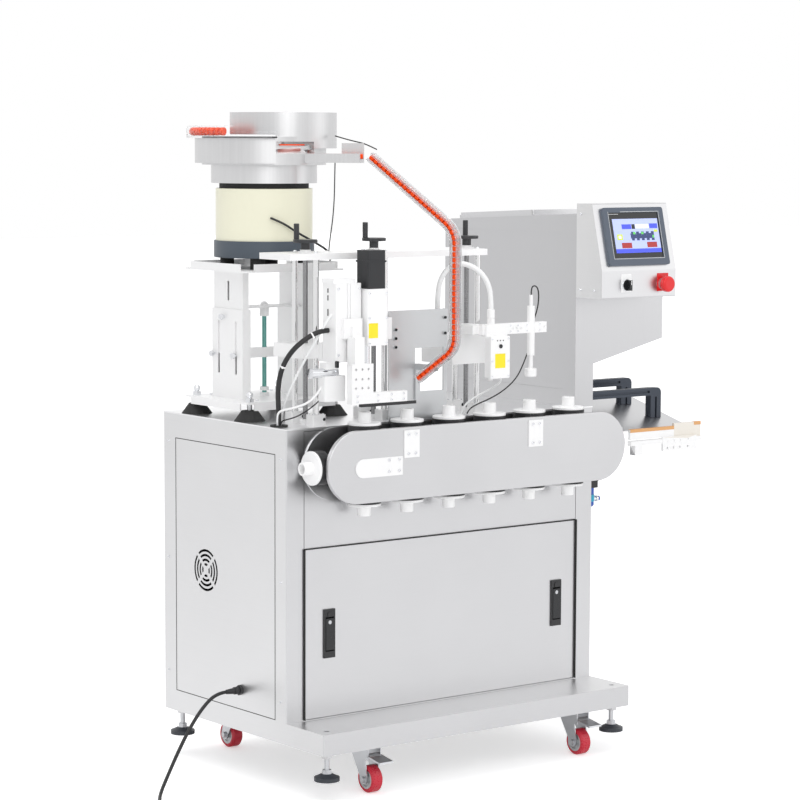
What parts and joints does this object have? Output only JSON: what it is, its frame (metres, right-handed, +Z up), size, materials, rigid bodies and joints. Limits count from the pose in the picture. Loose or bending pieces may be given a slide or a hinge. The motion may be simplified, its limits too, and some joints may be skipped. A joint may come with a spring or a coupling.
{
  "type": "bottle filling and capping machine",
  "caption": "Stainless cabinet on casters with a chain of bottle holders, a filling nozzle, a capping spindle, a vibratory cap bowl with its chute, and a tower with a touch screen.",
  "frame": {"origin": "on the floor under the middle of the machine's box, with the mains lead left out", "axes": "+Z up, +X to the right as seen from the front where the bottle chain is, +Y to the back"},
  "size_m": [1.5932, 0.698, 1.598],
  "materials": {
    "stainless": "brushed",
    "zinc": "zinc plated",
    "bright_steel": "polished",
    "white_aluminium": "matt anodised",
    "grey_plate": "satin",
    "black_plastic": "matt",
    "black_metal": "satin",
    "black_rubber": "matt",
    "black_cable": "matt",
    "red_polyurethane": "gloss",
    "orange_caps": "gloss",
    "clear_channel": "clear",
    "milky_hose": "milky",
    "screen_bezel": "satin",
    "stop_red": "gloss",
    "dark_arms": "satin",
    "motor_black": "satin",
    "drive_cream": "gloss"
  },
  "bodies": {
    "machine": {"air_regulator": "black_plastic", "base_frame": "stainless", "cabinet_shell": "stainless", "cable_bundle": "black_cable", "cap_chute": "clear_channel", "cap_row": "orange_caps", "control_gear": "black_plastic", "conveyor_cover": "stainless", "conveyor_frame": "stainless", "conveyor_gearmotor": "motor_black", "cord_gland": "black_plastic", "deck_plate": "stainless", "dosing_pump": "white_aluminium", "guide_arms": "dark_arms", "hmi_housing": "stainless", "hmi_panel": "screen_bezel", "outfeed_slide": "stainless", "power_cord": "black_cable", "power_cord_coil": "black_cable", "rubber_mounts": "black_rubber", "side_panel": "stainless", "stand_base": "white_aluminium", "station_posts": "bright_steel", "top_bridge": "white_aluminium", "tower_shell": "stainless", "track_plate": "grey_plate"},
    "feet": {"levelling_feet": "black_rubber"},
    "fork_front_left": {"caster_fork_front_left": "zinc"},
    "wheel_front_left": {"caster_wheel_front_left": "red_polyurethane"},
    "pedal_front_left": {"brake_pedal_front_left": "zinc"},
    "fork_front_right": {"caster_fork_front_right": "zinc"},
    "wheel_front_right": {"caster_wheel_front_right": "red_polyurethane"},
    "pedal_front_right": {"brake_pedal_front_right": "zinc"},
    "fork_rear_left": {"caster_fork_rear_left": "zinc"},
    "wheel_rear_left": {"caster_wheel_rear_left": "red_polyurethane"},
    "fork_rear_right": {"caster_fork_rear_right": "zinc"},
    "wheel_rear_right": {"caster_wheel_rear_right": "red_polyurethane"},
    "door": {"front_door": "stainless"},
    "latch_left": {"door_latch_left": "black_plastic"},
    "latch_right": {"door_latch_right": "black_plastic"},
    "drive": {"drive_sprocket": "black_plastic"},
    "tail": {"tail_sprocket": "black_plastic"},
    "top_chain": {"top_run": "black_plastic"},
    "bottom_chain": {"bottom_run": "black_plastic"},
    "screw_1": {"handwheel_1": "black_metal"},
    "gripper_carriage": {"gripper_head": "white_aluminium"},
    "screw_2": {"handwheel_2": "black_metal"},
    "capping_carriage": {"capping_head": "white_aluminium"},
    "screw_3": {"handwheel_3": "black_metal"},
    "filling_carriage": {"filling_head": "white_aluminium", "filling_hose": "milky_hose"},
    "jaws": {"gripper_jaws": "white_aluminium"},
    "chuck": {"capping_chuck": "bright_steel"},
    "stand_top": {"stand_head": "white_aluminium", "bowl_drive": "drive_cream"},
    "bowl": {"feeder_bowl": "stainless"},
    "lid": {"tower_lid": "stainless"},
    "stop": {"estop_button": "stop_red"},
    "selector": {"selector_knob": "black_plastic"},
    "fan": {"fan_rotor": "black_plastic"}
  },
  "joints": [
    {"name": "feet_lower", "type": "slide", "parent": "machine", "child": "feet", "axis": [0, 0, -1], "range_m": [0, 0.05]},
    {"name": "swivel_front_left", "type": "hinge", "parent": "machine", "child": "fork_front_left", "pos_m": [-0.441, -0.261, 0.105], "axis": [0, 0, 1], "continuous": true},
    {"name": "roll_front_left", "type": "hinge", "parent": "fork_front_left", "child": "wheel_front_left", "pos_m": [-0.441, -0.285, 0.0325], "axis": [1, 0, 0], "continuous": true},
    {"name": "brake_front_left", "type": "hinge", "parent": "fork_front_left", "child": "pedal_front_left", "pos_m": [-0.441, -0.294, 0.088], "axis": [1, 0, 0], "range_deg": [0, 12]},
    {"name": "swivel_front_right", "type": "hinge", "parent": "machine", "child": "fork_front_right", "pos_m": [0.212, -0.261, 0.105], "axis": [0, 0, 1], "continuous": true},
    {"name": "roll_front_right", "type": "hinge", "parent": "fork_front_right", "child": "wheel_front_right", "pos_m": [0.212, -0.285, 0.0325], "axis": [1, 0, 0], "continuous": true},
    {"name": "brake_front_right", "type": "hinge", "parent": "fork_front_right", "child": "pedal_front_right", "pos_m": [0.212, -0.294, 0.088], "axis": [1, 0, 0], "range_deg": [0, 12]},
    {"name": "swivel_rear_left", "type": "hinge", "parent": "machine", "child": "fork_rear_left", "pos_m": [-0.441, 0.279, 0.105], "axis": [0, 0, 1], "continuous": true},
    {"name": "roll_rear_left", "type": "hinge", "parent": "fork_rear_left", "child": "wheel_rear_left", "pos_m": [-0.441, 0.303, 0.0325], "axis": [1, 0, 0], "continuous": true},
    {"name": "swivel_rear_right", "type": "hinge", "parent": "machine", "child": "fork_rear_right", "pos_m": [0.212, 0.279, 0.105], "axis": [0, 0, 1], "continuous": true},
    {"name": "roll_rear_right", "type": "hinge", "parent": "fork_rear_right", "child": "wheel_rear_right", "pos_m": [0.212, 0.303, 0.0325], "axis": [1, 0, 0], "continuous": true},
    {"name": "door_pull", "type": "slide", "parent": "machine", "child": "door", "axis": [0, -1, 0], "range_m": [0, 0.15]},
    {"name": "latch_left_swing", "type": "hinge", "parent": "door", "child": "latch_left", "pos_m": [-0.487, -0.18, 0.401], "axis": [-1, 0, 0], "range_deg": [0, 45]},
    {"name": "latch_right_swing", "type": "hinge", "parent": "door", "child": "latch_right", "pos_m": [0.221, -0.18, 0.401], "axis": [-1, 0, 0], "range_deg": [0, 45]},
    {"name": "drive_turn", "type": "hinge", "parent": "machine", "child": "drive", "pos_m": [0.2755, -0.226, 0.773], "axis": [0, 1, 0], "range_deg": [0, 70]},
    {"name": "tail_turn", "type": "hinge", "parent": "machine", "child": "tail", "pos_m": [-0.4745, -0.226, 0.773], "axis": [0, 1, 0], "range_deg": [0, 70.1]},
    {"name": "top_travel", "type": "slide", "parent": "machine", "child": "top_chain", "axis": [1, 0, 0], "range_m": [0, 0.0542]},
    {"name": "bottom_travel", "type": "slide", "parent": "machine", "child": "bottom_chain", "axis": [-1, 0, 0], "range_m": [0, 0.0542]},
    {"name": "handwheel_1_turn", "type": "hinge", "parent": "machine", "child": "screw_1", "pos_m": [-0.5, -0.103, 1.253], "axis": [0, 0, 1], "range_deg": [-360, 2520]},
    {"name": "gripper_lift", "type": "slide", "parent": "machine", "child": "gripper_carriage", "axis": [0, 0, 1], "range_m": [-0.0048, 0.0348], "deforming": ["cable_bundle"]},
    {"name": "handwheel_2_turn", "type": "hinge", "parent": "machine", "child": "screw_2", "pos_m": [-0.298, -0.103, 1.253], "axis": [0, 0, 1], "range_deg": [-360, 2030.4]},
    {"name": "capping_lift", "type": "slide", "parent": "machine", "child": "capping_carriage", "axis": [0, 0, 1], "range_m": [-0.0048, 0.028]},
    {"name": "handwheel_3_turn", "type": "hinge", "parent": "machine", "child": "screw_3", "pos_m": [-0.012, -0.103, 1.253], "axis": [0, 0, 1], "range_deg": [-3240, 720]},
    {"name": "filling_lift", "type": "slide", "parent": "machine", "child": "filling_carriage", "axis": [0, 0, 1], "range_m": [-0.0448, 0.0098]},
    {"name": "jaw_stroke", "type": "slide", "parent": "gripper_carriage", "child": "jaws", "axis": [0, 0, 1], "range_m": [-0.008, 0.03]},
    {"name": "chuck_spin", "type": "hinge", "parent": "capping_carriage", "child": "chuck", "pos_m": [-0.41701, -0.226, 0.955], "axis": [0, 0, 1], "continuous": true},
    {"name": "stand_lift", "type": "slide", "parent": "machine", "child": "stand_top", "axis": [0, 0, 1], "range_m": [0, 0.05]},
    {"name": "bowl_shake", "type": "hinge", "parent": "stand_top", "child": "bowl", "pos_m": [-0.449, 0.142, 1.415], "axis": [0, 0, 1], "range_deg": [-0.4, 0.4], "stiffness_Nm_per_rad": 4000},
    {"name": "lid_swing", "type": "hinge", "parent": "machine", "child": "lid", "pos_m": [0.4285, 0.31119, 1.32986], "axis": [-1, 0, 0], "range_deg": [0, 95]},
    {"name": "stop_press", "type": "slide", "parent": "machine", "child": "stop", "axis": [0, 1, 0], "range_m": [0, 0.004], "stiffness_N_per_m": 2500},
    {"name": "selector_turn", "type": "hinge", "parent": "machine", "child": "selector", "pos_m": [0.361, -0.278, 1.173], "axis": [0, 1, 0], "range_deg": [-45, 45]},
    {"name": "fan_spin", "type": "hinge", "parent": "machine", "child": "fan", "pos_m": [-0.59, 0.16, 0.487], "axis": [1, 0, 0], "continuous": true}
  ],
  "couplings": [
    {"joint": "tail_turn", "follows": "drive_turn", "ratio": 1},
    {"joint": "top_travel", "follows": "drive_turn", "m_per_rad": 0.04425},
    {"joint": "bottom_travel", "follows": "drive_turn", "m_per_rad": 0.04425},
    {"joint": "handwheel_1_turn", "follows": "gripper_lift", "rad_per_m": 1256.6},
    {"joint": "handwheel_2_turn", "follows": "capping_lift", "rad_per_m": 1256.6},
    {"joint": "handwheel_3_turn", "follows": "filling_lift", "rad_per_m": 1256.6}
  ]
}
